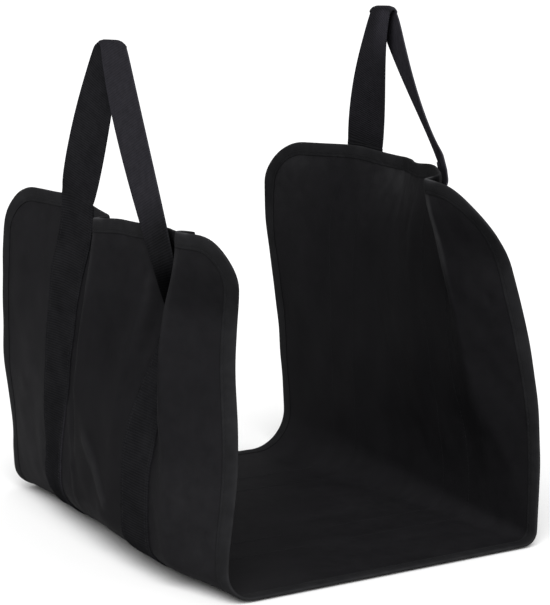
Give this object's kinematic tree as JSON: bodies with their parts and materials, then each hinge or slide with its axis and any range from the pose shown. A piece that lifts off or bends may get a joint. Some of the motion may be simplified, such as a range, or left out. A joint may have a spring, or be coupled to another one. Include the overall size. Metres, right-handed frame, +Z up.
{
  "type": "log carrier",
  "caption": "Canvas log carrier: a bound cloth panel bent into a U that is open at the front, rear and top, with webbing sewn round it that rises into a carrying handle above each wall.",
  "frame": {"origin": "on the ground under the middle of the carrier's box", "axes": "+X from the left wall to the right wall, +Y from the open front to the open rear, +Z up"},
  "size_m": [0.387, 0.4533, 0.5122],
  "materials": {
    "canvas": "dense waxed canvas, dark charcoal, matt with a faint sheen",
    "binding": "plain woven tape, near black, matt",
    "webbing": "ribbed woven webbing, charcoal, matt"
  },
  "bodies": {
    "root": {"canvas_panel": "canvas", "edge_binding": "binding", "left_strap": "webbing", "right_strap": "webbing"}
  },
  "joints": []
}
